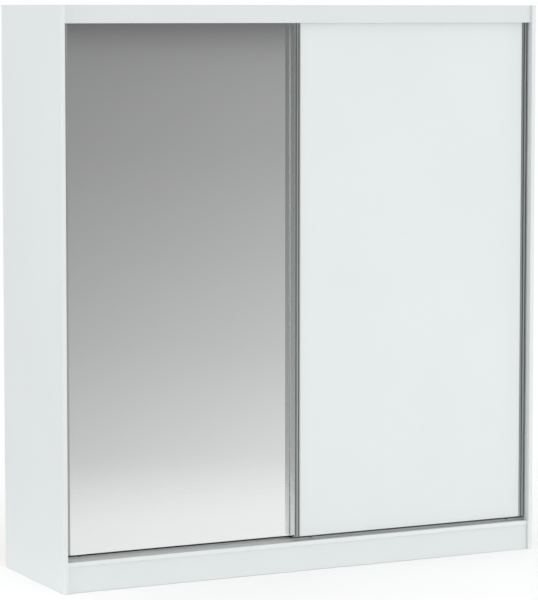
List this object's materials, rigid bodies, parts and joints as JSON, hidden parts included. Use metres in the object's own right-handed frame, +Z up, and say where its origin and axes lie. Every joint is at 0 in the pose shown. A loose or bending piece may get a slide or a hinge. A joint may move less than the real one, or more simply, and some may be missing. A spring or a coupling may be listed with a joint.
{
  "type": "sliding door wardrobe",
  "caption": "Tall white wardrobe with a mirror door and a plain door that slide past each other on aluminium tracks, with shelves and hanging rails inside.",
  "frame": {"origin": "on the floor under the middle of the case", "axes": "+X to the right seen from the front, +Y to the back (the doors face -Y), +Z up"},
  "size_m": [2, 0.59, 2.15],
  "materials": {
    "white_board": "white melamine laminate, fine satin texture, edge banded",
    "mirror": "silvered float glass, polished",
    "satin_aluminium": "satin anodised extrusion",
    "chromed_steel": "polished chrome plating",
    "bright_steel": "turned bright steel",
    "white_nylon": "moulded nylon, semi-matt",
    "grey_plastic": "moulded, fine texture",
    "black_plastic": "moulded, fine texture",
    "hardboard_back": "thin fibreboard, unpainted behind, white laminate inside"
  },
  "bodies": {
    "carcass": {"back_joint_strip": "white_nylon", "back_panel_left": "hardboard_back", "back_panel_right": "hardboard_back", "bottom_panel": "white_board", "bottom_track": "satin_aluminium", "centre_partition": "white_board", "fascia": "white_board", "glide_front_centre": "white_nylon", "glide_front_left": "white_nylon", "glide_front_right": "white_nylon", "glide_rear_centre": "white_nylon", "glide_rear_left": "white_nylon", "glide_rear_right": "white_nylon", "hanging_rail_left": "chromed_steel", "hanging_rail_right": "chromed_steel", "hat_shelf_left": "white_board", "hat_shelf_right": "white_board", "plinth_brace": "white_board", "plinth_front": "white_board", "plinth_rear": "white_board", "rail_socket_left_inner": "chromed_steel", "rail_socket_left_outer": "chromed_steel", "rail_socket_right_inner": "chromed_steel", "rail_socket_right_outer": "chromed_steel", "shelf_1": "white_board", "shelf_2": "white_board", "shelf_3": "white_board", "shelf_4": "white_board", "shelf_partition": "white_board", "side_panel_left": "white_board", "side_panel_right": "white_board", "top_panel": "white_board", "top_track": "satin_aluminium", "track_stop_front_left": "black_plastic", "track_stop_front_right": "black_plastic", "track_stop_rear_left": "black_plastic", "track_stop_rear_right": "black_plastic"},
    "mirror_door": {"mirror_door_axle_left": "bright_steel", "mirror_door_axle_right": "bright_steel", "mirror_door_board": "white_board", "mirror_door_roller_carrier_left": "grey_plastic", "mirror_door_roller_carrier_right": "grey_plastic", "mirror_door_stile_left": "satin_aluminium", "mirror_door_stile_right": "satin_aluminium", "mirror_door_top_guide_left": "black_plastic", "mirror_door_top_guide_right": "black_plastic", "mirror_glass": "mirror"},
    "panel_door": {"panel_door_axle_left": "bright_steel", "panel_door_axle_right": "bright_steel", "panel_door_board": "white_board", "panel_door_roller_carrier_left": "grey_plastic", "panel_door_roller_carrier_right": "grey_plastic", "panel_door_stile_left": "satin_aluminium", "panel_door_stile_right": "satin_aluminium", "panel_door_top_guide_left": "black_plastic", "panel_door_top_guide_right": "black_plastic"},
    "mirror_door_wheel_left": {"mirror_door_wheel_left": "black_plastic"},
    "mirror_door_wheel_right": {"mirror_door_wheel_right": "black_plastic"},
    "panel_door_wheel_left": {"panel_door_wheel_left": "black_plastic"},
    "panel_door_wheel_right": {"panel_door_wheel_right": "black_plastic"}
  },
  "joints": [
    {"name": "mirror_door_slide", "type": "slide", "parent": "carcass", "child": "mirror_door", "axis": [1, 0, 0], "range_m": [0, 0.94]},
    {"name": "panel_door_slide", "type": "slide", "parent": "carcass", "child": "panel_door", "axis": [1, 0, 0], "range_m": [-0.94, 0]},
    {"name": "mirror_door_wheel_left_spin", "type": "hinge", "parent": "mirror_door", "child": "mirror_door_wheel_left", "pos_m": [-0.9075, -0.217, 0.1346], "axis": [0, 1, 0], "continuous": true},
    {"name": "mirror_door_wheel_right_spin", "type": "hinge", "parent": "mirror_door", "child": "mirror_door_wheel_right", "pos_m": [-0.0325, -0.217, 0.1346], "axis": [0, 1, 0], "continuous": true},
    {"name": "panel_door_wheel_left_spin", "type": "hinge", "parent": "panel_door", "child": "panel_door_wheel_left", "pos_m": [0.0325, -0.2525, 0.1346], "axis": [0, 1, 0], "continuous": true},
    {"name": "panel_door_wheel_right_spin", "type": "hinge", "parent": "panel_door", "child": "panel_door_wheel_right", "pos_m": [0.9075, -0.2525, 0.1346], "axis": [0, 1, 0], "continuous": true}
  ],
  "couplings": [
    {"joint": "mirror_door_wheel_left_spin", "follows": "mirror_door_slide", "rad_per_m": 90.909},
    {"joint": "mirror_door_wheel_right_spin", "follows": "mirror_door_slide", "rad_per_m": 90.909},
    {"joint": "panel_door_wheel_left_spin", "follows": "panel_door_slide", "rad_per_m": 90.909},
    {"joint": "panel_door_wheel_right_spin", "follows": "panel_door_slide", "rad_per_m": 90.909}
  ]
}
